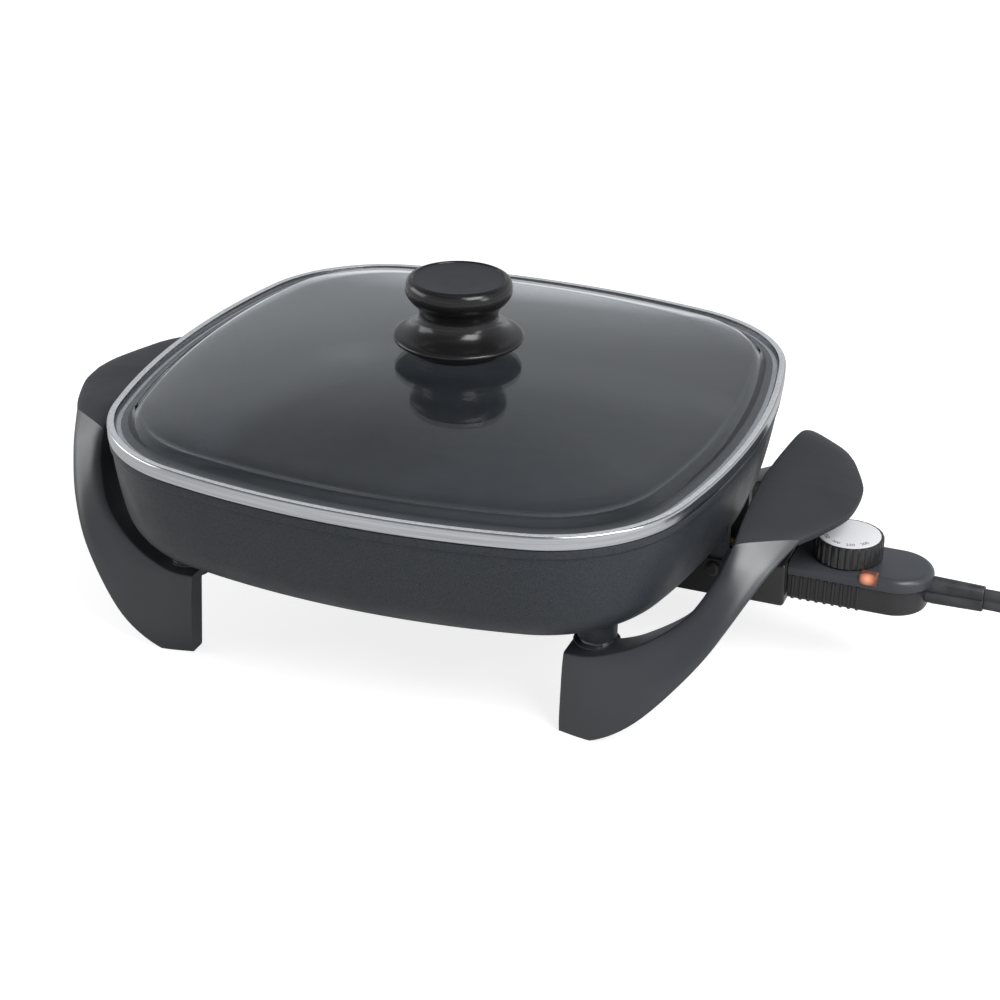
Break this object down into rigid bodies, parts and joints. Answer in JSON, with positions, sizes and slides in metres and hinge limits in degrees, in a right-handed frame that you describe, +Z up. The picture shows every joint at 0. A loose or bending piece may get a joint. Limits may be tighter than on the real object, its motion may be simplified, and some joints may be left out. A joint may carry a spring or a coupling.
{
  "type": "electric skillet",
  "caption": "Square electric skillet with a lift-off domed glass lid, grip-and-leg mouldings, a cast-in heating element and a plug-in heat control with a dial and a flat cord.",
  "frame": {"origin": "middle of the skillet's length and width, handle to heat control and without the cord, at the table", "axes": "+Z up, -Y the front, +X the side where the heat control plugs in"},
  "size_m": [0.6624, 0.304, 0.1702],
  "materials": {
    "nonstick_cast": "dark nonstick coating, fine satin texture, on cast aluminium",
    "phenolic_black": "satin black phenolic moulding",
    "phenolic_gloss": "glossy black phenolic moulding",
    "tempered_glass": "clear tempered glass",
    "band_steel": "polished stainless band",
    "plated_steel": "zinc-plated steel",
    "sheath_steel": "dull heat-darkened steel sheath",
    "contact_brass": "plain brass",
    "ceramic_white": "unglazed white ceramic",
    "dial_silver": "satin silver paint with dark numbers",
    "lamp_amber": "clear amber lens",
    "lamp_glass": "clear lamp glass",
    "cord_rubber": "satin black flexible lead and plug"
  },
  "bodies": {
    "skillet": {"pan": "nonstick_cast", "heating_element": "sheath_steel", "front_terminal_pin": "contact_brass", "rear_terminal_pin": "contact_brass", "terminal_guard": "sheath_steel", "front_guard_screw": "plated_steel", "rear_guard_screw": "plated_steel", "right_handle": "phenolic_black", "left_handle": "phenolic_black", "left_front_washer": "plated_steel", "left_front_handle_screw": "plated_steel", "left_rear_washer": "plated_steel", "left_rear_handle_screw": "plated_steel", "right_front_washer": "plated_steel", "right_front_handle_screw": "plated_steel", "right_rear_washer": "plated_steel", "right_rear_handle_screw": "plated_steel"},
    "lid": {"lid_band": "band_steel", "lid_glass": "tempered_glass", "knob_skirt": "phenolic_gloss", "knob": "phenolic_gloss", "lid_washer": "plated_steel", "lid_screw": "plated_steel"},
    "heat_control": {"control_base": "phenolic_gloss", "control_cover": "phenolic_gloss", "front_housing_screw": "plated_steel", "rear_housing_screw": "plated_steel", "contact_hood": "phenolic_gloss", "contact_block": "ceramic_white", "front_contact_sleeve": "contact_brass", "rear_contact_sleeve": "contact_brass", "sensor_rod": "plated_steel", "thermostat_base": "ceramic_white", "thermostat_spacer": "ceramic_white", "lower_contact_spring": "contact_brass", "upper_contact_spring": "contact_brass", "lamp_lens": "lamp_amber", "neon_lamp": "lamp_glass", "strain_relief": "cord_rubber", "cord_lead": "cord_rubber", "cord_coil": "cord_rubber", "plug_body": "cord_rubber", "plug_blade_left": "contact_brass", "plug_blade_right": "contact_brass"},
    "dial": {"dial": "phenolic_gloss", "dial_face": "dial_silver", "dial_shaft": "plated_steel"}
  },
  "joints": [
    {"name": "lid_lift", "type": "slide", "parent": "skillet", "child": "lid", "axis": [0, 0, 1], "range_m": [0, 0.08]},
    {"name": "control_pull", "type": "slide", "parent": "skillet", "child": "heat_control", "axis": [1, 0, 0], "range_m": [0, 0.06]},
    {"name": "dial_turn", "type": "hinge", "parent": "heat_control", "child": "dial", "pos_m": [0.1797, 0, 0.0607], "axis": [0, 0, 1], "range_deg": [-300, 0]}
  ]
}
